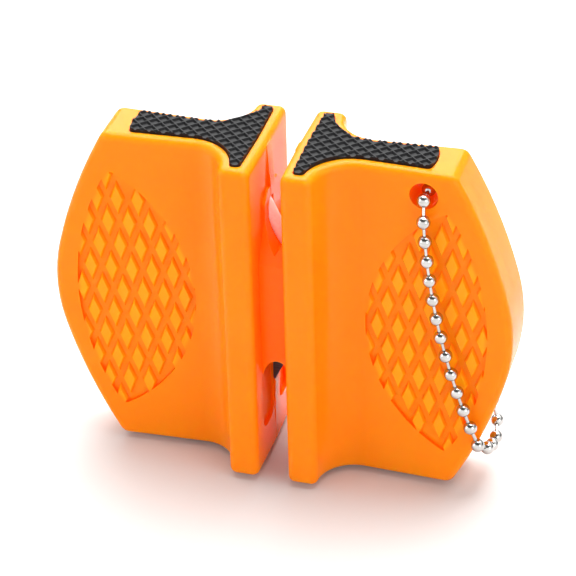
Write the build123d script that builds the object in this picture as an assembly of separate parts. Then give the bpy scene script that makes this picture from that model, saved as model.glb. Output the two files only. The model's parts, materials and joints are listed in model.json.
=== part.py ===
from build123d import *
import os
from math import cos, radians, sin, tan

# All sizes are millimetres. X runs across the two wings, Y runs along a blade's pull, Z runs up.
# The origin is the middle of the resting face, under the slot.

# Casing as a whole
casing_half_width = 30.0
casing_height = 46.0
casing_end_half_width = 22.4
wing_tip_half_height = 6.0
wing_tip_radius = 24.0
wing_corner_radius = 1.4
casing_edge_round = 0.95
cut_overrun = 2.0

# Flanges that guide the blade
flange_half_depth = 8.9
flange_outer_x = 6.0
flange_front_round = 1.0
slot_mouth_half = 1.98
slot_waist_half = 1.8
slot_mouth_round = 0.97

# Wings
neck_x = 10.9
wing_root_half = 3.45
wing_flare = 0.042

# Bridge between the flanges
bridge_half_depth_crest = 2.1
bridge_half_depth_top = 3.5
bridge_half_depth = 5.6
bridge_crest_z = 40.3
bridge_top_z = 39.0
bridge_shoulder_z = 36.0
bridge_foot_z = 31.4
bridge_bite = 0.8

# Ribs that lead the blade in along both walls of the slot, above the notch and below the arch
rib_half = 1.45
rib_half_thickness = 0.9
rib_upper_start_z = 46.0
rib_lower_start_z = 1.6
rib_lower_end_z = 13.4
rib_lower_half = 1.6

# Upper notch, for the ceramic rods
notch_half = 1.5
notch_bend_z = 36.5
notch_cheek = (1.02, 34.6)
notch_floor_z = 32.7

# Lower arch, for the carbide plates
arch_half = 1.95
arch_foot_z = 13.7
arch_top_z = 17.05
arch_lip = 0.22

# Sunk pockets in the slot's walls, beside the plates
pocket_near_half = 2.2
pocket_far_half = 2.55
pocket_floor_z = 6.0
pocket_top_z = 15.4
pocket_near_y = 1.25
pocket_far_y = 5.75
pocket_corner = 1.6

# Ceramic rods, crossed in a V
rod_radius = 0.9
rod_length = 14.4
rod_lean_deg = 24.0
rod_vertex_z = 35.5
rod_above_vertex = 5.9
rod_mid_gap = 0.15
rod_seat_clearance = 0.03

# Carbide plates, crossed in an inverted V
plate_thickness = 1.1
plate_mid_gap = 0.05
plate_tip_x = 1.62
plate_tip_z = 11.2
plate_tip_flat = 0.12
plate_top_z = 19.0
plate_edge_lean_deg = 26.0
plate_back_lean_deg = 18.0
plate_seat_clearance = 0.04

# Grip pads
pad_rim = 1.4
pad_end_x = 19.4
pad_end_bow_radius = 7.5
pad_corner_radius = 0.55
pad_seat_depth = 0.9
pad_proud = 0.5
pad_side_gap = 0.1
knurl_pitch = 1.27
knurl_depth = 0.26
knurl_ridge_foot = 0.5
knurl_ridge_crest = 0.12
knurl_centre_x = 11.15

# Diamond panels on the wings
panel_tip_x = 21.8
panel_tip_rise = 18.0
panel_outer_x = 26.9
panel_inner_x = 11.15
panel_corner_radius = 0.8
panel_depth = 0.45
lozenge_column_pitch = 2.73
lozenge_row_pitch = 3.46
lozenge_centre_x = 19.5
lozenge_half_width = 0.72
lozenge_half_height = 1.85
lozenge_base_half_width = 1.0
lozenge_base_half_height = 2.55

# Hollow wings
cavity_rim_wall = 2.4
cavity_depth = 2.0
cavity_inner_x = 8.0

# Dowels that line the two shells up, given by their distance from the slot and from mid-height
dowel_places = [(12.6, 15.5), (12.6, -15.5), (24.6, 0.0)]
dowel_boss_radius = 1.8
dowel_radius = 0.9
dowel_length = 1.6
dowel_clearance = 0.05
dowel_socket_spare = 0.2

# Chain hole
hole_x = 18.6
hole_z = 43.4
hole_radius = 1.8
hole_boss_wall = 1.1

# Ball chain
bead_radius = 0.88
bead_wall = 0.14
bead_hole_radius = 0.27
link_radius = 0.22
link_head_radius = 0.32
link_head_setback = 0.37
chain_pitch = 2.76
strand_y = 5.3
hole_bead_drop = 0.4
hole_bead_offset = 0.1
hole_bead_half_span = 4.1
fall_start_offset = 0.35
fall_start_drop = 2.7
fall_start_lean_deg = 4.0
fall_turn_deg = 1.6
front_fall_links = 12
swing_steps = 4
hinge_swing_deg = 20.0
hinge_bead_numbers = [3, 5, 7, 9]
back_straight_links = 4

# The beads that pass round the wing's rim: shares of the pitch across from the last bead in front,
# of the strand's own distance from mid-depth, and of the pitch up from that bead
rim_bead_shares = [
    (0.31, -0.61, -0.63),
    (0.36, -0.15, -1.08),
    (0.34, 0.36, -1.33),
    (0.19, 0.85, -1.07),
    (-0.10, 1.0, -0.11),
]

# Connector that closes the chain
connector_wall = 0.15
connector_bead_clearance = 0.08
connector_end_wall = 0.2
connector_slot_width = 0.7

# Places that follow from the sizes
base_z = pad_proud
top_z = base_z + casing_height
mid_z = base_z + casing_height / 2


def wing_half_at(x):
    """Half the thickness of a wing at a distance x from the middle of the slot."""
    return wing_root_half + wing_flare * (x - neck_x)


def both_sides(shape):
    """A shape on +X together with its mirror image on -X."""
    return shape + mirror(shape, about=Plane.YZ)


def plan_face(mouth_round, front_round):
    """Plan of the +X half of the casing, seen from above."""
    far_x = casing_half_width + cut_overrun
    neck = (neck_x, wing_root_half)
    corner = (flange_outer_x, flange_half_depth)
    side = [
        Line((slot_waist_half, 0), (slot_mouth_half, flange_half_depth)),
        Line((slot_mouth_half, flange_half_depth), corner),
        TangentArc(neck, corner, tangent=(-1, -wing_flare)),
        Line(neck, (far_x, wing_half_at(far_x))),
        Line((far_x, wing_half_at(far_x)), (far_x, 0)),
        Line((far_x, 0), (slot_waist_half, 0)),
    ]
    half = make_face(Curve() + side)
    plan = half + mirror(half, about=Plane.XZ)
    if mouth_round:
        fronts = plan.vertices().filter_by(lambda v: abs(abs(v.Y) - flange_half_depth) < cut_overrun / 4)
        plan = fillet([v for v in fronts if v.X < neck_x / 3], mouth_round)
        fronts = plan.vertices().filter_by(lambda v: abs(v.X - flange_outer_x) < cut_overrun / 100)
        plan = fillet(fronts, front_round)
    return plan


def front_face():
    """Outline of the +X half of the casing, seen from the front, as X and height."""
    rise = wing_tip_half_height
    tip_in = wing_tip_radius - (wing_tip_radius ** 2 - rise ** 2) ** 0.5
    shoulder_x = casing_half_width - tip_in
    slope = rise / (wing_tip_radius ** 2 - rise ** 2) ** 0.5
    top = (casing_end_half_width, top_z)
    bottom = (casing_end_half_width, base_z)
    edges = [
        Line((0, base_z), bottom),
        TangentArc((shoulder_x, mid_z - rise), bottom, tangent=(-slope, -1)),
        ThreePointArc((shoulder_x, mid_z - rise), (casing_half_width, mid_z), (shoulder_x, mid_z + rise)),
        TangentArc((shoulder_x, mid_z + rise), top, tangent=(-slope, 1)),
        Line(top, (0, top_z)),
        Line((0, top_z), (0, base_z)),
    ]
    outline = make_face(Curve() + edges)
    corners = outline.vertices().filter_by(lambda v: abs(v.X - casing_end_half_width) < cut_overrun / 100)
    return fillet(corners, wing_corner_radius)


def pulled(face, direction, length):
    """A face drawn out into a solid along a given direction."""
    return extrude(face, amount=length, dir=direction)


def through(face):
    """A front view outline drawn out to both sides of the mid-plane, past the whole casing."""
    return extrude(Plane.XZ * face, amount=flange_half_depth + cut_overrun, both=True)


def casing_block():
    """The +X wing and flange as one solid, with its outer edges rounded."""
    plan = Pos(0, 0, base_z) * plan_face(slot_mouth_round, flange_front_round)
    block = pulled(plan, (0, 0, 1), casing_height) & through(front_face())
    across = block.edges().filter_by(Axis.Y) + block.edges().filter_by(Axis.Z)
    rounded = [edge for edge in block.edges() if edge not in across]
    return fillet(rounded, casing_edge_round)


def arch_face(half, rise):
    """The arch's outline as X and height, from below its foot up to its crown."""
    legs = Pos(0, arch_foot_z - casing_height / 2) * Rectangle(2 * half, casing_height)
    return legs + Pos(0, arch_foot_z) * Ellipse(half, rise)


def notch_face():
    """The upper notch's outline as X and height, pointed below and open at the top."""
    cheek_x, cheek_z = notch_cheek
    above = top_z + cut_overrun
    edges = [
        Line((-notch_half, above), (-notch_half, notch_bend_z)),
        ThreePointArc((-notch_half, notch_bend_z), (-cheek_x, cheek_z), (0, notch_floor_z)),
        ThreePointArc((0, notch_floor_z), (cheek_x, cheek_z), (notch_half, notch_bend_z)),
        Line((notch_half, notch_bend_z), (notch_half, above)),
        Line((notch_half, above), (-notch_half, above)),
    ]
    return make_face(Curve() + edges)


def bridge():
    """The block that joins the flanges, thinner at the top, with the notch over the arch."""
    front = [
        (bridge_half_depth_crest, bridge_crest_z),
        (bridge_half_depth_top, bridge_top_z),
        (bridge_half_depth_top, bridge_shoulder_z),
        (bridge_half_depth, bridge_foot_z),
        (bridge_half_depth, arch_foot_z),
    ]
    back = [(-y, z) for y, z in reversed(front)]
    side = make_face(Polyline(front + back, close=True))
    block = extrude(Plane.YZ * side, amount=slot_mouth_half + bridge_bite, both=True)
    arch_rise = arch_top_z - arch_foot_z
    block = block - through(notch_face()) - through(arch_face(arch_half, arch_rise))
    mouth = Plane.XZ.offset(bridge_half_depth) * arch_face(arch_half + arch_lip, arch_rise + arch_lip)
    lip = pulled(mouth, (0, 1, 0), arch_lip)
    return block - lip - mirror(lip, about=Plane.XZ)


def lead_in_ribs():
    """The thin wedges along the slot's walls that narrow the way to the notch and to the arch."""
    wall = slot_waist_half + bridge_bite
    upper = make_face(Polyline(
        (wall, rib_upper_start_z), (slot_waist_half, rib_upper_start_z), (rib_half, bridge_crest_z),
        (rib_half, notch_bend_z), (wall, notch_bend_z), close=True))
    lower = make_face(Polyline(
        (wall, rib_lower_start_z), (slot_waist_half, rib_lower_start_z), (rib_lower_half, rib_lower_end_z),
        (wall, rib_lower_end_z), close=True))
    ribs = [extrude(Plane.XZ * face, amount=rib_half_thickness, both=True) for face in (upper, lower)]
    return both_sides(ribs[0] + ribs[1])


def wall_pockets():
    """The pockets sunk into both walls of the slot, deepest at the front and the back."""
    middle_y = (pocket_near_y + pocket_far_y) / 2
    middle_z = (pocket_floor_z + pocket_top_z) / 2
    outline = RectangleRounded(pocket_far_y - pocket_near_y, pocket_top_z - pocket_floor_z, pocket_corner)
    shaft = extrude(Plane.YZ * Pos(-middle_y, middle_z) * outline, amount=flange_outer_x, both=True)
    plan = make_face(Polyline(
        (-pocket_near_half, -pocket_near_y), (-pocket_far_half, -pocket_far_y),
        (pocket_far_half, -pocket_far_y), (pocket_near_half, -pocket_near_y), close=True))
    pocket = shaft & pulled(plan, (0, 0, 1), top_z)
    return pocket + mirror(pocket, about=Plane.XZ)


def panel_plane():
    """The plane of the +X wing's front face, with its origin above the neck at mid-height."""
    return Plane(origin=(neck_x, -wing_root_half, mid_z), x_dir=(1, -wing_flare, 0), z_dir=(-wing_flare, -1, 0))


def panel_face():
    """The leaf outline of a diamond panel, in the plane of the wing's face."""
    tip_x = panel_tip_x - neck_x
    edges = [
        ThreePointArc((tip_x, -panel_tip_rise), (panel_outer_x - neck_x, 0), (tip_x, panel_tip_rise)),
        ThreePointArc((tip_x, panel_tip_rise), (panel_inner_x - neck_x, 0), (tip_x, -panel_tip_rise)),
    ]
    leaf = make_face(Curve() + edges)
    return fillet(leaf.vertices(), panel_corner_radius)


def lozenge_places():
    """Middles of the raised lozenges, every second row shifted by half a pitch."""
    rows = int(panel_tip_rise / lozenge_row_pitch)
    columns = int((panel_outer_x - panel_inner_x) / lozenge_column_pitch / 2) + 1
    places = []
    for row in range(-rows, rows + 1):
        shift = 0 if row % 2 else lozenge_column_pitch / 2
        for column in range(-columns, columns + 1):
            x = lozenge_centre_x - neck_x + column * lozenge_column_pitch + shift
            places.append((x, row * lozenge_row_pitch))
    return places


def touches_panel(place):
    """Whether a lozenge at this place reaches into the leaf outline."""
    x, z = place
    outer_bulge = panel_outer_x - panel_tip_x
    inner_bulge = panel_tip_x - panel_inner_x
    share = 1 - (abs(z) / panel_tip_rise) ** 2
    x_from_tip = x - (panel_tip_x - neck_x)
    margin = lozenge_half_width
    return -inner_bulge * share - margin < x_from_tip < outer_bulge * share + margin


def lozenge_face(half_width, half_height):
    """An upright lozenge."""
    corners = [(-half_width, 0), (0, half_height), (half_width, 0), (0, -half_height)]
    return make_face(Polyline(corners, close=True))


def lozenge_stud():
    """One lozenge with sloping sides, standing on the panel's floor and run on past the face."""
    top = Pos(0, 0, panel_depth) * lozenge_face(lozenge_half_width, lozenge_half_height)
    sides = loft([lozenge_face(lozenge_base_half_width, lozenge_base_half_height), top])
    return sides + pulled(top, (0, 0, 1), cut_overrun)


def panel_cutter():
    """What is cut from a wing's face to leave the lozenges standing in the sunk leaf."""
    cutter = pulled(panel_face(), (0, 0, 1), panel_depth + cut_overrun / 2)
    stud = lozenge_stud()
    studs = [Pos(x, z, 0) * stud for x, z in lozenge_places() if touches_panel((x, z))]
    cutter = cutter - studs
    return panel_plane().offset(-panel_depth) * cutter


def all_four(shape):
    """A shape on the +X front quarter, repeated on all four quarters."""
    right = shape + mirror(shape, about=Plane.XZ)
    return both_sides(right)


def pad_face(gap):
    """Plan of a +X grip pad, or of its seat where gap is the seat's play."""
    plan = offset(plan_face(0, 0), amount=gap - pad_rim, kind=Kind.INTERSECTION)
    wide = 2 * casing_half_width
    bow_x = pad_end_x - pad_end_bow_radius
    beyond = Pos(bow_x + wide / 2, 0) * Rectangle(wide, wide) - Pos(bow_x, 0) * Circle(pad_end_bow_radius + gap)
    plan = plan - beyond
    ridge_free = plan.vertices().filter_by(lambda v: abs(v.Y) > wing_root_half / 4)
    corners = [v for v in ridge_free if v.X < neck_x / 2 or v.X > pad_end_x - cut_overrun / 4]
    return fillet(corners, pad_corner_radius)


def pad_seat():
    """The recess for a +X pad in the casing's top."""
    face = Pos(0, 0, top_z - pad_seat_depth) * pad_face(pad_side_gap)
    return pulled(face, (0, 0, 1), pad_seat_depth + cut_overrun)


def knurl_pit():
    """One square pit with sloping sides and a flat floor, its mouth at the origin's height."""
    floor_side = knurl_pitch - knurl_ridge_foot
    mouth_side = knurl_pitch - knurl_ridge_crest
    floor = Pos(0, 0, -knurl_depth) * Rectangle(floor_side, floor_side)
    mouth = Rectangle(mouth_side, mouth_side)
    return Rot(0, 0, 45) * (loft([floor, mouth]) + pulled(mouth, (0, 0, 1), knurl_depth))


def pit_places():
    """Middles of the +X pad's pits, on a square lattice turned by 45 degrees."""
    count = int((pad_end_x - slot_mouth_half) / knurl_pitch)
    places = []
    for i in range(-count, count + 1):
        for j in range(-count, count + 1):
            x = knurl_centre_x + (i - j) * knurl_pitch * cos(radians(45))
            y = (i + j) * knurl_pitch * cos(radians(45))
            half = wing_half_at(x) if x > neck_x else flange_half_depth
            if slot_mouth_half < x < pad_end_x + pad_rim and abs(y) < half:
                places.append((x, y))
    return places


def grip_pad():
    """The +X top pad: a slab in its seat, sunk with pits that leave a net of ridges."""
    low = top_z - pad_seat_depth
    high = top_z + pad_proud
    slab = pulled(Pos(0, 0, low) * pad_face(0), (0, 0, 1), high - low)
    pit = knurl_pit()
    return slab - [Pos(x, y, high) * pit for x, y in pit_places()]


def casing():
    """Both wings, both flanges and the bridge, with every outside feature cut."""
    body = both_sides(casing_block()) + bridge() + lead_in_ribs()
    body = body - wall_pockets()
    seats = both_sides(pad_seat())
    body = body - seats - mirror(seats, about=Plane.XY.offset(mid_z))
    body = body - all_four(panel_cutter())
    hole = Pos(hole_x, 0, hole_z) * Rot(90, 0, 0) * Cylinder(hole_radius, 4 * flange_half_depth)
    return body - hole


def rod_middle():
    """Middle of the front rod, whose upper right side is one arm of the V, as X and height."""
    lean = radians(rod_lean_deg)
    below_vertex = rod_length / 2 - rod_above_vertex
    x = below_vertex * sin(lean) - rod_radius * cos(lean)
    z = rod_vertex_z - below_vertex * cos(lean) - rod_radius * sin(lean)
    return x, z


def rod(radius):
    """The front rod, or its seat where the radius is larger."""
    x, z = rod_middle()
    length = rod_length + 2 * (radius - rod_radius)
    return Pos(x, -(rod_mid_gap + rod_radius), z) * Rot(0, -rod_lean_deg, 0) * Cylinder(radius, length)


def rod_seat():
    """The front shell's channel for the front rod, open at the mid-plane."""
    radius = rod_radius + rod_seat_clearance
    x, z = rod_middle()
    depth = rod_mid_gap + rod_radius
    way_in = Box(2 * radius, depth, rod_length + 2 * rod_seat_clearance)
    return rod(radius) + Pos(x, -depth / 2, z) * Rot(0, -rod_lean_deg, 0) * way_in


def plate_face():
    """The front plate's outline as X and height, its lower tip on the -X side."""
    rise = plate_top_z - plate_tip_z
    edge_x = -plate_tip_x + rise * tan(radians(plate_edge_lean_deg))
    back_x = -plate_tip_x - rise * tan(radians(plate_back_lean_deg))
    return make_face(Polyline(
        (-plate_tip_x, plate_tip_z),
        (edge_x, plate_top_z),
        (back_x - plate_tip_flat, plate_top_z),
        (-plate_tip_x - plate_tip_flat, plate_tip_z),
        close=True))


def plate(clearance):
    """The front plate, or its seat where clearance is the seat's play."""
    face = plate_face()
    thickness = plate_thickness
    gap = plate_mid_gap
    if clearance:
        face = offset(face, amount=clearance, kind=Kind.INTERSECTION)
        thickness = plate_thickness + plate_mid_gap + clearance
        gap = 0
    return Pos(0, -gap, 0) * pulled(Plane.XZ * face, (0, -1, 0), thickness)


def cavity():
    """The hollow inside the +X wing of one shell, from the mid-plane into +Y."""
    inside = offset(front_face(), amount=-cavity_rim_wall, kind=Kind.INTERSECTION)
    wide = 4 * casing_half_width
    inside = inside - Pos(cavity_inner_x - wide / 2, mid_z) * Rectangle(wide, wide)
    room = pulled(Plane.XZ * inside, (0, 1, 0), cavity_depth)
    for x, rise in dowel_places:
        room = room - Pos(x, cavity_depth / 2, mid_z + rise) * Rot(90, 0, 0) * Cylinder(
            dowel_boss_radius, 2 * cavity_depth)
    boss = Pos(hole_x, cavity_depth / 2, hole_z) * Rot(90, 0, 0) * Cylinder(
        hole_radius + hole_boss_wall, 2 * cavity_depth)
    return room - boss


def dowels(radius, length):
    """Round pegs at the dowel places, from the mid-plane into +Y."""
    pegs = None
    for x, rise in dowel_places:
        peg = Pos(x, length / 2, mid_z + rise) * Rot(90, 0, 0) * Cylinder(radius, length)
        pegs = peg if pegs is None else pegs + peg
    return both_sides(pegs)


def half_space(sign):
    """Everything on one side of the mid-plane."""
    size = 4 * casing_half_width
    return Pos(0, sign * size / 2, mid_z) * Box(size, size, size)


def front_shell(body):
    """The front moulding, which carries the dowels and the front rod and plate."""
    shell = body & half_space(-1)
    shell = shell - both_sides(mirror(cavity(), about=Plane.XZ))
    shell = shell - rod_seat() - plate(plate_seat_clearance)
    return shell + dowels(dowel_radius, dowel_length)


def back_shell(body):
    """The back moulding, which carries the sockets and the back rod and plate."""
    shell = body & half_space(1)
    shell = shell - both_sides(cavity())
    turn = Rot(0, 0, 180)
    shell = shell - turn * rod_seat() - turn * plate(plate_seat_clearance)
    return shell - dowels(dowel_radius + dowel_clearance, dowel_length + dowel_socket_spare)


def front_fall():
    """Middles of the beads that hang on the front face, from the top down."""
    x = hole_x + fall_start_offset
    z = hole_z - fall_start_drop
    places = [Vector(x, -strand_y, z)]
    for step in range(front_fall_links):
        lean = radians(fall_start_lean_deg + step * fall_turn_deg)
        x = x + chain_pitch * sin(lean)
        z = z - chain_pitch * cos(lean)
        places.append(Vector(x, -strand_y, z))
    return places


def hole_beads():
    """Middles of the beads inside the hole and in its mouths, from front to back."""
    x = hole_x + hole_bead_offset
    z = hole_z - hole_bead_drop
    return [Vector(x, share * hole_bead_half_span, z) for share in (-1, -1 / 3, 1 / 3, 1)]


def segment_of(number):
    """Which hinged segment the strand's bead of this number from the hole belongs to."""
    return 1 + len([hinge for hinge in hinge_bead_numbers if number > hinge])


def chain_loop():
    """Every bead round the closed loop, from the front mouth of the hole: middle, segment, run."""
    hole = hole_beads()
    fall = front_fall()
    last_segment = len(hinge_bead_numbers) + 1
    last_hinge = hinge_bead_numbers[-1]
    loop = [(hole[0], 1, "hole")]
    for number, place in enumerate(fall):
        loop.append((place, segment_of(number + 1), "front"))
    low = fall[-1]
    for across, depth, up in rim_bead_shares:
        place = Vector(low.X + across * chain_pitch, depth * strand_y, low.Z + up * chain_pitch)
        loop.append((place, last_segment, "rim"))
    start = loop[-1][0]
    joint = fall[last_hinge - 1]
    way = Vector(joint.X, strand_y, joint.Z) - start
    for step in range(1, back_straight_links):
        loop.append((start + way * (step / back_straight_links), last_segment, "back"))
    for number in range(last_hinge, 0, -1):
        place = fall[number - 1]
        loop.append((Vector(place.X, strand_y, place.Z), segment_of(number), "back"))
    loop.extend((place, 1, "hole") for place in hole[:0:-1])
    return loop


def bead(middle, exits):
    """A hollow ball with an opening for each link, widened where that link swings."""
    ball = Sphere(bead_radius) - Sphere(bead_radius - bead_wall)
    for neighbour, swing in exits:
        way = (neighbour - middle).normalized()
        for step in range(swing_steps if swing else 1):
            turned = way.rotate(Axis.Y, -swing * step / (swing_steps - 1))
            opening = Plane(origin=turned * (bead_radius - bead_wall / 2), z_dir=turned)
            ball = ball - opening * Cylinder(bead_hole_radius, bead_wall * 2)
    return Pos(middle.X, middle.Y, middle.Z) * ball


def link(start, end):
    """A wire with a round head in each of the two beads that it joins."""
    way = (end - start).normalized()
    head_start = start + way * link_head_setback
    head_end = end - way * link_head_setback
    length = (head_end - head_start).length
    wire = Plane(origin=(head_start + head_end) / 2, z_dir=way) * Cylinder(link_radius, length)
    for place in (head_start, head_end):
        wire = wire + Pos(place.X, place.Y, place.Z) * Sphere(link_head_radius)
    return wire


def connector(start, end):
    """The folded sleeve over the chain's two end beads, slotted along one side."""
    way = (end - start).normalized()
    length = (end - start).length + 2 * (bead_radius + connector_bead_clearance)
    bore = bead_radius + connector_bead_clearance
    outer = bore + connector_wall
    sleeve = Cylinder(outer, length + 2 * connector_end_wall) - Cylinder(bore, length)
    sleeve = sleeve - Cylinder(bead_hole_radius, length + 4 * connector_end_wall)
    slot = Pos(0, outer / 2, 0) * Box(connector_slot_width, outer, length - 2 * bead_radius)
    sleeve = sleeve - slot
    return Plane(origin=(start + end) / 2, x_dir=(0, 1, 0), z_dir=way) * sleeve


def save(shapes, name):
    """Write one or more separate solids as a node."""
    solids = []
    for shape in shapes:
        solids.extend(shape.solids())
    result = solids[0] if len(solids) == 1 else Compound(children=solids)
    result.label = name
    export_step(result, os.path.join("parts", name + ".step"))


os.makedirs("parts", exist_ok=True)
body = casing()
save([front_shell(body)], "front_shell")
save([back_shell(body)], "back_shell")

pad = grip_pad()
low_pad = mirror(pad, about=Plane.XY.offset(mid_z))
save([pad], "grip_pad_top_right")
save([mirror(pad, about=Plane.YZ)], "grip_pad_top_left")
save([low_pad], "grip_pad_bottom_right")
save([mirror(low_pad, about=Plane.YZ)], "grip_pad_bottom_left")

turn_round = Rot(0, 0, 180)
save([rod(rod_radius)], "ceramic_rod_front")
save([turn_round * rod(rod_radius)], "ceramic_rod_back")
save([plate(0)], "carbide_plate_front")
save([turn_round * plate(0)], "carbide_plate_back")

# The chain, one link at a time: a link belongs to the lower segment of the two beads it joins
loop = chain_loop()
count = len(loop)
gap_after = [i for i in range(count) if loop[i][2] == "back"][1]
nodes = {}
for i in range(count):
    middle, segment, run = loop[i]
    exits = []
    for j, joined in (((i - 1) % count, gap_after != (i - 1) % count), ((i + 1) % count, gap_after != i)):
        if joined:
            exits.append((loop[j][0], hinge_swing_deg if loop[j][1] > segment else 0))
    nodes.setdefault("chain_%d_beads_%s" % (segment, run), []).append(bead(middle, exits))
    following = loop[(i + 1) % count]
    if i != gap_after:
        wire = link(middle, following[0])
        nodes.setdefault("chain_%d_links" % max(segment, following[1]), []).append(wire)
for name, shapes in nodes.items():
    save(shapes, name)
save([connector(loop[gap_after][0], loop[gap_after + 1][0])], "chain_connector")

spacing = [(loop[(i + 1) % count][0] - loop[i][0]).length for i in range(count)]
print("beads", count, "spacing", round(min(spacing), 2), "to", round(max(spacing), 2))
for number in hinge_bead_numbers:
    place = loop[number][0]
    print("hinge at bead", number, "x", round(place.X, 4), "z", round(place.Z, 4))
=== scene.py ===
import json
from math import cos, pi, radians, sin

import bpy
from mathutils import Matrix, Vector


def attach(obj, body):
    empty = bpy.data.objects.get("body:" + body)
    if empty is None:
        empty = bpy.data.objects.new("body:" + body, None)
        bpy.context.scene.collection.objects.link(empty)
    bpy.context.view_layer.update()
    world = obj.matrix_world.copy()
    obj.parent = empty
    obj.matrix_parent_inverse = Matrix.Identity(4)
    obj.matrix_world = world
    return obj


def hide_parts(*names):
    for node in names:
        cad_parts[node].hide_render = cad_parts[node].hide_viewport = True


# A pull through knife sharpener: a two part orange casing, knurled grip pads, crossed rods and plates,
# and a ball chain through one wing. Everything is in metres, in the frame of the solids.

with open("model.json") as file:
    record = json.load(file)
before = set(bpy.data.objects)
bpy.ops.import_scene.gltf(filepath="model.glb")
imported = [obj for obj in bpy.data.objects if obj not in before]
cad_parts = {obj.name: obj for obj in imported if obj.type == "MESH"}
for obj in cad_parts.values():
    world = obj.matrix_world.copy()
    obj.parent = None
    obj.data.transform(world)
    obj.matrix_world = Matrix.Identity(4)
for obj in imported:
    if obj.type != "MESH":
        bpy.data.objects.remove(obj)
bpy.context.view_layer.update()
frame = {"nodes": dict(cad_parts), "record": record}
MM = 0.001

# Camera
VIEW_AZIMUTH = 16.919
VIEW_ELEVATION = 33.382
VIEW_ROLL = -1.611
VIEW_DISTANCE = 308.89 * MM
VIEW_TARGET = (0.0, 0.0, 23.5 * MM)
VIEW_SLIDE = (0.082 * MM, 1.121 * MM)
LENS = 151.22
SENSOR = 36.0
CLIP_RANGE = (0.01, 20.0)

# Studio light: grey levels by height share, and soft panels as place, size and power
TENT_POWER = 3.0
TENT_BEFORE = [(0.0, 0.30), (0.50, 0.50), (0.73, 0.50), (0.80, 0.03), (0.97, 0.03), (1.0, 0.2)]
TENT_BEHIND = [(0.0, 0.30), (0.48, 0.20), (0.52, 0.02), (0.64, 0.02), (0.80, 0.55), (1.0, 1.0)]
TENT_TURN = (-0.25, 0.25)
PANEL_LIGHTS = {
    "top_box": ((0.03, 0.16, 0.57), (0.48, 0.45), 5.4),
    "back_box": ((-0.14, 0.46, 0.34), (0.55, 0.22), 1.8),
    "right_box": ((0.42, -0.28, 0.22), (0.22, 0.30), 0.50),
    "left_box": ((-0.42, -0.30, 0.22), (0.20, 0.30), 0.42),
}

# Floor sheet
FLOOR_HALF_WIDTH = 6.0
FLOOR_FRONT = -4.0
FLOOR_BACK = 5.0
FLOOR_BEND = 2.0
FLOOR_BEND_STEPS = 12
FLOOR_RISE = 4.0

# Wing faces and their sunk diamond panels, the same as in the solids
FACE_ROOT = 3.45 * MM
FACE_FLARE = 0.042
NECK_X = 10.9 * MM
PANEL_DEPTH = 0.45 * MM
PANEL_MIDDLE_Z = 23.5 * MM
PANEL_TIP = (21.8 * MM, 18.0 * MM)
PANEL_SIDES_X = (11.15 * MM, 26.9 * MM)
PANEL_RIM = (0.1 * MM, 0.5 * MM)
LOZENGE_SIDE = (0.1, 0.8)

# Painted shade and painted glow in a recess, by how open the surface lies there: a darker red tint and a red
# emission
RECESS_REACH = 5.0 * MM
RECESS_SAMPLES = 8
RECESS_PAINTED_SHADE = (0.15, 0.80)
RECESS_PAINTED_GLOW = [(0.05, (0.42, 0.036, 0.0)), (0.6, (0.0, 0.0, 0.0))]

# Ball chain, the same run as the solids
BALL_RADIUS = 0.88 * MM
BALL_WALL = 0.14 * MM
OPENING_RADIUS = 0.27 * MM
WIRE_RADIUS = 0.22 * MM
WIRE_HEAD_RADIUS = 0.32 * MM
WIRE_HEAD_SETBACK = 0.37 * MM
CHAIN_PITCH = 2.76 * MM
STRAND_Y = 5.3 * MM
HOLE = (18.6 * MM, 43.4 * MM)
HOLE_BALL_DROP = 0.4 * MM
HOLE_BALL_OFFSET = 0.1 * MM
HOLE_BALL_HALF_SPAN = 4.1 * MM
FALL_START = (0.35 * MM, 2.7 * MM)
FALL_START_LEAN = 4.0
FALL_TURN = 1.6
FALL_LINKS = 12
HINGE_BALLS = (3, 5, 7, 9)
HINGE_SWING = 20.0
HINGE_STEPS = 4
STRAIGHT_LINKS = 4
CONNECTOR_BALL = 1
BALL_FACETS = (36, 22)
BALL_INSIDE_FACETS = (24, 14)
OPENING_FACETS = 20
PUNCH_SHARE = 2.6
WIRE_FACETS = 14
WIRE_HEAD_FACETS = (14, 8)
SHARP_ANGLE = 0.6
RIM_SHARES = (
    (0.31, -0.61, -0.63),
    (0.36, -0.15, -1.08),
    (0.34, 0.36, -1.33),
    (0.19, 0.85, -1.07),
    (-0.10, 1.0, -0.11),
)


def set_camera():
    """The camera at the photograph's angle, distance and lens."""
    azimuth, elevation, roll = (radians(a) for a in (VIEW_AZIMUTH, VIEW_ELEVATION, VIEW_ROLL))
    ahead = Vector((-sin(azimuth) * cos(elevation), cos(azimuth) * cos(elevation), -sin(elevation)))
    level = Vector((cos(azimuth), sin(azimuth), 0))
    upright = level.cross(ahead)
    right = level * cos(roll) + upright * sin(roll)
    up = upright * cos(roll) - level * sin(roll)
    eye = Vector(VIEW_TARGET) - ahead * VIEW_DISTANCE + right * VIEW_SLIDE[0] + up * VIEW_SLIDE[1]
    data = bpy.data.cameras.new("camera")
    data.lens = LENS
    data.sensor_width = SENSOR
    data.clip_start, data.clip_end = CLIP_RANGE
    camera = bpy.data.objects.new("camera", data)
    turn = Matrix((right, up, -ahead)).transposed().to_4x4()
    camera.matrix_world = Matrix.Translation(eye) @ turn
    bpy.context.scene.collection.objects.link(camera)
    bpy.context.scene.camera = camera


def set_panel_light(name, place, size, power):
    """A soft rectangular studio light that faces the object."""
    data = bpy.data.lights.new(name, "AREA")
    data.shape = "RECTANGLE"
    data.size, data.size_y = size
    data.energy = power
    lamp = bpy.data.objects.new(name, data)
    lamp.location = place
    lamp.rotation_euler = (Vector(VIEW_TARGET) - Vector(place)).to_track_quat("-Z", "Y").to_euler()
    bpy.context.scene.collection.objects.link(lamp)


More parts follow.
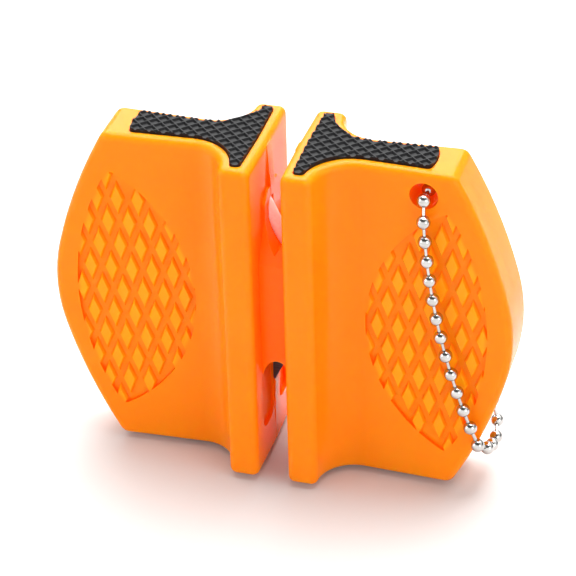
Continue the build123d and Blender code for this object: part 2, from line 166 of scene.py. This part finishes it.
def add(tree, kind, values=None, **settings):
    """A shader or geometry node with its settings and unlinked inputs."""
    made = tree.nodes.new(kind)
    for key, value in settings.items():
        setattr(made, key, value)
    for key, value in (values or {}).items():
        made.inputs[key].default_value = value
    return made


def ramp(tree, source, stops):
    """A colour ramp from (place, colour) stops."""
    made = add(tree, "ShaderNodeValToRGB")
    band = made.color_ramp
    while len(band.elements) < len(stops):
        band.elements.new(0.5)
    for element, (place, colour) in zip(band.elements, stops):
        element.position = place
        element.color = (*colour, 1)
    tree.links.new(source, made.inputs["Fac"])
    return made.outputs["Color"]


def mixed(tree, share, first, second):
    """Two colours, from the first where the share is 0 to the second where it is 1."""
    made = add(tree, "ShaderNodeMix", data_type="RGBA")
    # A mix node's colour sockets have the names of its number sockets, so they are found by place
    first_colour, second_colour, result = made.inputs[6], made.inputs[7], made.outputs[2]
    tree.links.new(share, made.inputs["Factor"])
    tree.links.new(first, first_colour)
    tree.links.new(second, second_colour)
    return result


def span(tree, source, low, high):
    """A value from 0 to 1 spread between two limits."""
    made = add(tree, "ShaderNodeMapRange", {"To Min": low, "To Max": high})
    tree.links.new(source, made.inputs["Value"])
    return made.outputs["Result"]


def grain(tree, scale, detail=4.0, roughness=0.55, stretch=None):
    """Noise on the piece's own coordinates, which may be drawn out along an axis."""
    coords = add(tree, "ShaderNodeTexCoord").outputs["Object"]
    if stretch:
        mapping = add(tree, "ShaderNodeMapping", {"Scale": stretch})
        tree.links.new(coords, mapping.inputs["Vector"])
        coords = mapping.outputs["Vector"]
    made = add(tree, "ShaderNodeTexNoise", {"Scale": scale, "Detail": detail, "Roughness": roughness})
    tree.links.new(coords, made.inputs["Vector"])
    return made.outputs["Fac"]


def bump(tree, heights):
    """Bumps laid one on another, from (height source, strength, depth) in metres."""
    normal = None
    for source, strength, depth in heights:
        made = add(tree, "ShaderNodeBump", {"Strength": strength, "Distance": depth})
        tree.links.new(source, made.inputs["Height"])
        if normal:
            tree.links.new(normal, made.inputs["Normal"])
        normal = made.outputs["Normal"]
    return normal


def finish(name, values, colour, roughness, heights):
    """A material from its fixed shader values and its colour, roughness and relief makers."""
    made = bpy.data.materials.new(name)
    made.use_nodes = True
    tree = made.node_tree
    shader = tree.nodes["Principled BSDF"]
    for key, value in values.items():
        shader.inputs[key].default_value = value
    tree.links.new(colour(tree), shader.inputs["Base Color"])
    tree.links.new(roughness(tree), shader.inputs["Roughness"])
    tree.links.new(bump(tree, heights(tree)), shader.inputs["Normal"])
    return made


def reckoned(tree, operation, first, second=None):
    """One step of arithmetic on node values or numbers."""
    made = add(tree, "ShaderNodeMath", operation=operation)
    for socket, given in zip(made.inputs, (first, second)):
        if isinstance(given, (int, float)):
            socket.default_value = given
        elif given:
            tree.links.new(given, socket)
    return made.outputs["Value"]


def shared(tree, source, start, end):
    """A value from 0 to 1 as the source goes from start to end."""
    made = add(tree, "ShaderNodeMapRange", {"From Min": start, "From Max": end})
    tree.links.new(source, made.inputs["Value"])
    return made.outputs["Result"]


def openness(tree):
    """How open the surface lies, from 0 deep in a recess to 1 on an outer face."""
    made = add(tree, "ShaderNodeAmbientOcclusion", samples=RECESS_SAMPLES, only_local=True)
    made.inputs["Distance"].default_value = RECESS_REACH
    return made.outputs["AO"]


def side_arc(side_x):
    """Radius of a panel side's arc through both tips, and the place of its middle across the wing."""
    tip_x, rise = PANEL_TIP
    bulge = side_x - tip_x
    radius = (rise ** 2 + bulge ** 2) / (2 * abs(bulge))
    return radius, side_x - radius * (1 if bulge > 0 else -1)


def panel_shares(tree):
    """How far a point lies inside a diamond panel, and how far up its lozenges."""
    place = add(tree, "ShaderNodeSeparateXYZ")
    tree.links.new(add(tree, "ShaderNodeTexCoord").outputs["Object"], place.inputs["Vector"])
    across = reckoned(tree, "ABSOLUTE", place.outputs["X"])
    forward = reckoned(tree, "ABSOLUTE", place.outputs["Y"])
    up = reckoned(tree, "SUBTRACT", place.outputs["Z"], PANEL_MIDDLE_Z)
    depths = []
    for radius, middle in map(side_arc, PANEL_SIDES_X):
        off = reckoned(tree, "POWER", reckoned(tree, "SUBTRACT", across, middle), 2.0)
        reach = reckoned(tree, "SQRT", reckoned(tree, "ADD", off, reckoned(tree, "POWER", up, 2.0)))
        depths.append(reckoned(tree, "SUBTRACT", radius, reach))
    inside = shared(tree, reckoned(tree, "MINIMUM", *depths), *PANEL_RIM)
    face = reckoned(tree, "MULTIPLY_ADD", across, FACE_FLARE)
    face.node.inputs[2].default_value = FACE_ROOT - FACE_FLARE * NECK_X - PANEL_DEPTH
    height = reckoned(tree, "SUBTRACT", forward, face)
    low, high = (share * PANEL_DEPTH for share in LOZENGE_SIDE)
    return inside, shared(tree, height, low, high)


def plastic_tint(tree):
    """Plain orange, with painted highlight making the raised lozenge tops paler and painted shade making
    recesses a darker red.
    """
    inside, raised = panel_shares(tree)
    plain = ramp(tree, grain(tree, 70, 3), [
        (0.25, (0.955, 0.205, 0.0020)),
        (0.5, (0.975, 0.217, 0.0028)),
        (0.75, (0.99, 0.230, 0.0038)),
    ])
    # Painted highlight: the tops of the raised lozenges are painted a paler orange
    painted_lozenge_highlight = ramp(tree, grain(tree, 110, 3), [(0.3, (0.97, 0.290, 0.0040)), (0.7, (0.99, 0.315, 0.0060))])
    # Painted shade: deep in recesses the plastic is painted a darker red
    painted_recess_shade = ramp(tree, grain(tree, 90, 4), [(0.3, (0.93, 0.085, 0.0008)), (0.7, (0.96, 0.105, 0.0012))])
    outside = mixed(tree, reckoned(tree, "MULTIPLY", inside, raised), plain, painted_lozenge_highlight)
    return mixed(tree, shared(tree, openness(tree), *RECESS_PAINTED_SHADE), painted_recess_shade, outside)


def orange_plastic():
    """Glossy, slightly translucent moulded plastic: flow tints, a mould's ripple, painted shade that reddens
    its recesses and a painted red glow in them.
    """
    material = finish(
        "orange_plastic",
        {
            "IOR": 1.45,
            "Specular IOR Level": 0.13,
            "Subsurface Weight": 0.6,
            "Subsurface Radius": (1.0, 0.20, 0.03),
            "Subsurface Scale": 4.5 * MM,
            # The emission carries the painted glow in recesses
            "Emission Strength": 1.0,
        },
        plastic_tint,
        lambda tree: span(tree, grain(tree, 420, 5), 0.16, 0.27),
        lambda tree: [
            (grain(tree, 130, 2), 0.10, 0.0006),
            (grain(tree, 2600, 3), 0.04, 0.00004),
        ],
    )
    tree = material.node_tree
    # Painted glow: the plastic gives off red light of its own in its recesses
    painted_glow = ramp(tree, openness(tree), RECESS_PAINTED_GLOW)
    tree.links.new(painted_glow, tree.nodes["Principled BSDF"].inputs["Emission Color"])
    return material


def black_rubber():
    """Dark rubber with fine dusty grey mottling and a roughness that varies at random."""
    return finish(
        "black_rubber",
        {"IOR": 1.5, "Specular IOR Level": 0.17},
        lambda tree: ramp(tree, grain(tree, 900, 6, 0.65), [
            (0.3, (0.004, 0.004, 0.0045)),
            (0.6, (0.007, 0.007, 0.008)),
            (0.85, (0.016, 0.016, 0.018)),
        ]),
        lambda tree: span(tree, grain(tree, 1500, 5), 0.36, 0.58),
        lambda tree: [(grain(tree, 3800, 4), 0.25, 0.00005)],
    )


def ground_ceramic():
    """Fine ground white ceramic."""
    return finish(
        "ground_ceramic",
        {"IOR": 1.6, "Specular IOR Level": 0.5},
        lambda tree: ramp(tree, grain(tree, 2600, 5, 0.6), [
            (0.3, (0.74, 0.71, 0.66)),
            (0.7, (0.86, 0.84, 0.80)),
        ]),
        lambda tree: span(tree, grain(tree, 3200, 4), 0.34, 0.5),
        lambda tree: [(grain(tree, 5200, 4), 0.2, 0.00003)],
    )


def ground_carbide():
    """Dark carbide with the fine lines of its grinding."""
    return finish(
        "ground_carbide",
        {"Metallic": 1.0},
        lambda tree: ramp(tree, grain(tree, 600, 6, 0.6, (1, 1, 14)), [
            (0.3, (0.045, 0.045, 0.050)),
            (0.7, (0.10, 0.10, 0.11)),
        ]),
        lambda tree: span(tree, grain(tree, 900, 5, 0.6, (1, 1, 14)), 0.3, 0.46),
        lambda tree: [(grain(tree, 1400, 4, 0.6, (1, 1, 14)), 0.2, 0.00003)],
    )


def polished_steel():
    """Bright plated steel with fine rubbed marks."""
    return finish(
        "polished_steel",
        {"Metallic": 1.0},
        lambda tree: ramp(tree, grain(tree, 500, 5), [
            (0.3, (0.47, 0.455, 0.44)),
            (0.7, (0.59, 0.58, 0.565)),
        ]),
        lambda tree: span(tree, grain(tree, 1800, 6, 0.65), 0.08, 0.22),
        lambda tree: [(grain(tree, 2500, 4), 0.08, 0.00002)],
    )


def studio_white():
    """The pale floor, very slightly mottled."""
    return finish(
        "studio_white",
        {"Specular IOR Level": 0.15},
        lambda tree: ramp(tree, grain(tree, 3, 2), [
            (0.3, (0.60, 0.596, 0.588)),
            (0.7, (0.62, 0.616, 0.608)),
        ]),
        lambda tree: span(tree, grain(tree, 8, 2), 0.6, 0.7),
        lambda tree: [(grain(tree, 40, 2), 0.02, 0.0001)],
    )


def chain_places():
    """Every ball round the loop, from the front mouth of the hole: its middle and its segment."""
    hole_x, hole_z = HOLE
    in_hole = [
        Vector((hole_x + HOLE_BALL_OFFSET, share * HOLE_BALL_HALF_SPAN, hole_z - HOLE_BALL_DROP))
        for share in (-1, -1 / 3, 1 / 3, 1)
    ]
    fall = [Vector((hole_x + FALL_START[0], -STRAND_Y, hole_z - FALL_START[1]))]
    for step in range(FALL_LINKS):
        lean = radians(FALL_START_LEAN + step * FALL_TURN)
        fall.append(fall[-1] + Vector((CHAIN_PITCH * sin(lean), 0, -CHAIN_PITCH * cos(lean))))

    def segment(number):
        return 1 + sum(number > hinge for hinge in HINGE_BALLS)

    def behind(place):
        return Vector((place.x, STRAND_Y, place.z))

    last = len(HINGE_BALLS) + 1
    loop = [(in_hole[0], 1)] + [(place, segment(i + 1)) for i, place in enumerate(fall)]
    for across, depth, up in RIM_SHARES:
        place = Vector((fall[-1].x + across * CHAIN_PITCH, depth * STRAND_Y, fall[-1].z + up * CHAIN_PITCH))
        loop.append((place, last))
    start, joint = loop[-1][0], behind(fall[HINGE_BALLS[-1] - 1])
    loop += [(start.lerp(joint, step / STRAIGHT_LINKS), last) for step in range(1, STRAIGHT_LINKS)]
    loop += [(behind(fall[n - 1]), segment(n)) for n in range(HINGE_BALLS[-1], 0, -1)]
    return loop + [(place, 1) for place in in_hole[:0:-1]]


def connector_gap():
    """The number of the ball after which the connector, and not a wire, joins the next ball."""
    balls_in_front = 1 + FALL_LINKS + 1
    straight_start = balls_in_front + len(RIM_SHARES)
    return straight_start + CONNECTOR_BALL


def run_outline(segment, loop, gap):
    """A mesh of bare points for one segment: its balls, their openings, and its wires as edges."""
    count = len(loop)
    points, kinds, ways, edges = [], [], [], []

    def put(kind, place, way=(0, 0, 1)):
        points.append(place)
        kinds.append(kind)
        ways.append(way)

    for i, (middle, owner) in enumerate(loop):
        before, after = (i - 1) % count, (i + 1) % count
        if owner == segment:
            put("ball", middle)
            neighbours = [j for j, cut in ((before, before == gap), (after, i == gap)) if not cut]
            for j in neighbours:
                way = (loop[j][0] - middle).normalized()
                swing = HINGE_SWING if loop[j][1] > owner else 0.0
                for step in range(HINGE_STEPS if swing else 1):
                    turn = Matrix.Rotation(radians(-swing * step / (HINGE_STEPS - 1)), 3, "Y")
                    put("opening", middle + turn @ way * (BALL_RADIUS - BALL_WALL / 2), turn @ way)
        if i != gap and max(owner, loop[after][1]) == segment:
            way = (loop[after][0] - middle).normalized()
            edges.append((len(points), len(points) + 1))
            put("head", middle + way * WIRE_HEAD_SETBACK)
            put("head", loop[after][0] - way * WIRE_HEAD_SETBACK)
    mesh = bpy.data.meshes.new("run_outline")
    mesh.from_pydata(points, edges, [])
    for kind in ("ball", "opening", "head"):
        flags = [given == kind for given in kinds]
        mesh.attributes.new(kind, "BOOLEAN", "POINT").data.foreach_set("value", flags)
    flat = [number for way in ways for number in way]
    mesh.attributes.new("way", "FLOAT_VECTOR", "POINT").data.foreach_set("vector", flat)
    return mesh


def named(tree, name, kind):
    """A value that the outline's points carry."""
    made = add(tree, "GeometryNodeInputNamedAttribute", {"Name": name}, data_type=kind)
    return made.outputs["Attribute"]


def joined(tree, *geometries):
    """Several geometries as one."""
    made = add(tree, "GeometryNodeJoinGeometry")
    for geometry in geometries:
        tree.links.new(geometry, made.inputs["Geometry"])
    return made.outputs["Geometry"]


def sphere(tree, radius, segments, rings):
    """A round ball of a linked radius."""
    made = add(tree, "GeometryNodeMeshUVSphere", {"Segments": segments, "Rings": rings})
    tree.links.new(radius, made.inputs["Radius"])
    return made.outputs["Mesh"]


def placed(tree, points, selection, shape, rotation=None):
    """A shape set on each selected point, as real geometry."""
    made = add(tree, "GeometryNodeInstanceOnPoints")
    tree.links.new(points, made.inputs["Points"])
    tree.links.new(selection, made.inputs["Selection"])
    tree.links.new(shape, made.inputs["Instance"])
    if rotation:
        tree.links.new(rotation, made.inputs["Rotation"])
    solid = add(tree, "GeometryNodeRealizeInstances")
    tree.links.new(made.outputs["Instances"], solid.inputs["Geometry"])
    return solid.outputs["Geometry"]


def hollow_balls(tree, given):
    """The balls as thin shells, with a round opening wherever a wire goes in or swings."""
    is_ball = named(tree, "ball", "BOOLEAN")
    outside = placed(tree, given["Geometry"], is_ball, sphere(tree, given["Ball Radius"], *BALL_FACETS))
    inner_radius = reckoned(tree, "SUBTRACT", given["Ball Radius"], given["Ball Wall"])
    inner = placed(tree, given["Geometry"], is_ball, sphere(tree, inner_radius, *BALL_INSIDE_FACETS))
    inside = add(tree, "GeometryNodeFlipFaces")
    tree.links.new(inner, inside.inputs["Mesh"])

    punch = add(tree, "GeometryNodeMeshCylinder", {"Vertices": OPENING_FACETS})
    tree.links.new(given["Opening Radius"], punch.inputs["Radius"])
    tree.links.new(reckoned(tree, "MULTIPLY", given["Ball Wall"], PUNCH_SHARE), punch.inputs["Depth"])
    aim = add(tree, "FunctionNodeAlignRotationToVector", axis="Z")
    tree.links.new(named(tree, "way", "FLOAT_VECTOR"), aim.inputs["Vector"])
    is_opening = named(tree, "opening", "BOOLEAN")
    punches = placed(tree, given["Geometry"], is_opening, punch.outputs["Mesh"], aim.outputs["Rotation"])
    opened = add(tree, "GeometryNodeMeshBoolean", operation="DIFFERENCE", solver="MANIFOLD")
    tree.links.new(joined(tree, outside, inside.outputs["Mesh"]), opened.inputs["Mesh 1"])
    tree.links.new(punches, opened.inputs["Mesh 2"])
    return opened.outputs["Mesh"]


def headed_wires(tree, given):
    """A round wire along each edge, with a round head at both ends."""
    line = add(tree, "GeometryNodeMeshToCurve")
    tree.links.new(given["Geometry"], line.inputs["Mesh"])
    ring = add(tree, "GeometryNodeCurvePrimitiveCircle", {"Resolution": WIRE_FACETS})
    tree.links.new(given["Wire Radius"], ring.inputs["Radius"])
    wires = add(tree, "GeometryNodeCurveToMesh", {"Fill Caps": True})
    tree.links.new(line.outputs["Curve"], wires.inputs["Curve"])
    tree.links.new(ring.outputs["Curve"], wires.inputs["Profile Curve"])
    head = sphere(tree, given["Wire Head Radius"], *WIRE_HEAD_FACETS)
    heads = placed(tree, given["Geometry"], named(tree, "head", "BOOLEAN"), head)
    return joined(tree, wires.outputs["Mesh"], heads)


def chain_run_tree():
    """The node tree that turns a segment's points into hollow balls and headed wires."""
    tree = bpy.data.node_groups.new("ball_chain_run", "GeometryNodeTree")
    sockets = [("Geometry", "Geometry"), ("Finish", "Material")]
    sizes = ("Ball Radius", "Ball Wall", "Opening Radius", "Wire Radius", "Wire Head Radius")
    sockets += [(name, "Float") for name in sizes]
    for name, kind in sockets:
        tree.interface.new_socket(name, in_out="INPUT", socket_type="NodeSocket" + kind)
    tree.interface.new_socket("Geometry", in_out="OUTPUT", socket_type="NodeSocketGeometry")
    given = add(tree, "NodeGroupInput").outputs

    whole = joined(tree, hollow_balls(tree, given), headed_wires(tree, given))
    soft = add(tree, "GeometryNodeSetShadeSmooth")
    tree.links.new(whole, soft.inputs["Geometry"])
    angle = add(tree, "GeometryNodeInputMeshEdgeAngle")
    steep = reckoned(tree, "GREATER_THAN", angle.outputs["Unsigned Angle"], SHARP_ANGLE)
    sharp = add(tree, "GeometryNodeSetShadeSmooth", {"Shade Smooth": False}, domain="EDGE")
    tree.links.new(soft.outputs["Geometry"], sharp.inputs["Geometry"])
    tree.links.new(steep, sharp.inputs["Selection"])
    solid = add(tree, "GeometryNodeRealizeInstances")
    tree.links.new(sharp.outputs["Geometry"], solid.inputs["Geometry"])
    coated = add(tree, "GeometryNodeSetMaterial")
    tree.links.new(solid.outputs["Geometry"], coated.inputs["Geometry"])
    tree.links.new(given["Finish"], coated.inputs["Material"])
    tree.links.new(coated.outputs["Geometry"], add(tree, "NodeGroupOutput").inputs["Geometry"])
    return tree


def baked(name, outline, tree, values):
    """A plain mesh object from an outline run through a node tree, with the tree's inputs set first."""
    source = bpy.data.objects.new(name + "_outline", outline)
    bpy.context.scene.collection.objects.link(source)
    modifier = source.modifiers.new("run", "NODES")
    modifier.node_group = tree
    sockets = {item.name: item.identifier for item in tree.interface.items_tree if item.in_out == "INPUT"}
    for key, value in values.items():
        modifier[sockets[key]] = value
    graph = bpy.context.evaluated_depsgraph_get()
    mesh = bpy.data.meshes.new_from_object(source.evaluated_get(graph), depsgraph=graph)
    mesh.name = name
    source.modifiers.remove(modifier)
    bpy.data.objects.remove(source)
    made = bpy.data.objects.new(name, mesh)
    bpy.context.scene.collection.objects.link(made)
    return made


def hang_chain(material):
    """The chain's balls and wires, one mesh for each hinged segment."""
    loop = chain_places()
    gap = connector_gap()
    tree = chain_run_tree()
    sizes = {
        "Ball Radius": BALL_RADIUS,
        "Ball Wall": BALL_WALL,
        "Opening Radius": OPENING_RADIUS,
        "Wire Radius": WIRE_RADIUS,
        "Wire Head Radius": WIRE_HEAD_RADIUS,
        "Finish": material,
    }
    for segment in range(1, len(HINGE_BALLS) + 2):
        body = "chain_%d" % segment
        run = baked(body + "_run", run_outline(segment, loop, gap), tree, sizes)
        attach(run, body)
        solids = [name for name in frame["nodes"] if name.startswith(body + "_")]
        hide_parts(*solids)


def lay_floor(material):
    """A wide pale sheet under the object that curves up far behind it."""
    profile = [(FLOOR_FRONT, 0.0)]
    for step in range(FLOOR_BEND_STEPS + 1):
        angle = pi / 2 * step / FLOOR_BEND_STEPS
        profile.append((FLOOR_BACK + FLOOR_BEND * sin(angle), FLOOR_BEND * (1 - cos(angle))))
    profile.append((FLOOR_BACK + FLOOR_BEND, FLOOR_BEND + FLOOR_RISE))
    points = [(x, y, z) for y, z in profile for x in (-FLOOR_HALF_WIDTH, FLOOR_HALF_WIDTH)]
    faces = [(2 * i, 2 * i + 1, 2 * i + 3, 2 * i + 2) for i in range(len(profile) - 1)]
    mesh = bpy.data.meshes.new("floor")
    mesh.from_pydata(points, [], faces)
    mesh.materials.append(material)
    for face in mesh.polygons:
        face.use_smooth = True
    floor = bpy.data.objects.new("floor", mesh)
    bpy.context.scene.collection.objects.link(floor)


def set_surround(before, behind):
    """A studio tent, lit by height, from (height share, grey level) stops before and behind the object."""
    world = bpy.data.worlds.new("tent")
    world.use_nodes = True
    tree = world.node_tree
    direction = add(tree, "ShaderNodeSeparateXYZ")
    tree.links.new(add(tree, "ShaderNodeTexCoord").outputs["Generated"], direction.inputs["Vector"])
    height = shared(tree, direction.outputs["Z"], -1.0, 1.0)
    halves = []
    for stops in (before, behind):
        halves.append(ramp(tree, height, [(place, (grey,) * 3) for place, grey in stops]))
    turn = shared(tree, direction.outputs["Y"], *TENT_TURN)
    background = tree.nodes["Background"]
    tree.links.new(mixed(tree, turn, *halves), background.inputs["Color"])
    background.inputs["Strength"].default_value = TENT_POWER
    bpy.context.scene.world = world


set_camera()
bpy.context.scene.view_settings.view_transform = "Standard"
set_surround(TENT_BEFORE, TENT_BEHIND)
for name, (place, size, power) in PANEL_LIGHTS.items():
    set_panel_light(name, place, size, power)
lay_floor(studio_white())

finishes = {
    "casing": orange_plastic(),
    "grip": black_rubber(),
    "ceramic": ground_ceramic(),
    "carbide": ground_carbide(),
    "chain": polished_steel(),
}
slot_of = {part["node"]: part["material_slot"] for part in frame["record"]["subparts"]}
for name, node in frame["nodes"].items():
    node.data.materials.clear()
    node.data.materials.append(finishes[slot_of[name]])

hang_chain(finishes["chain"])
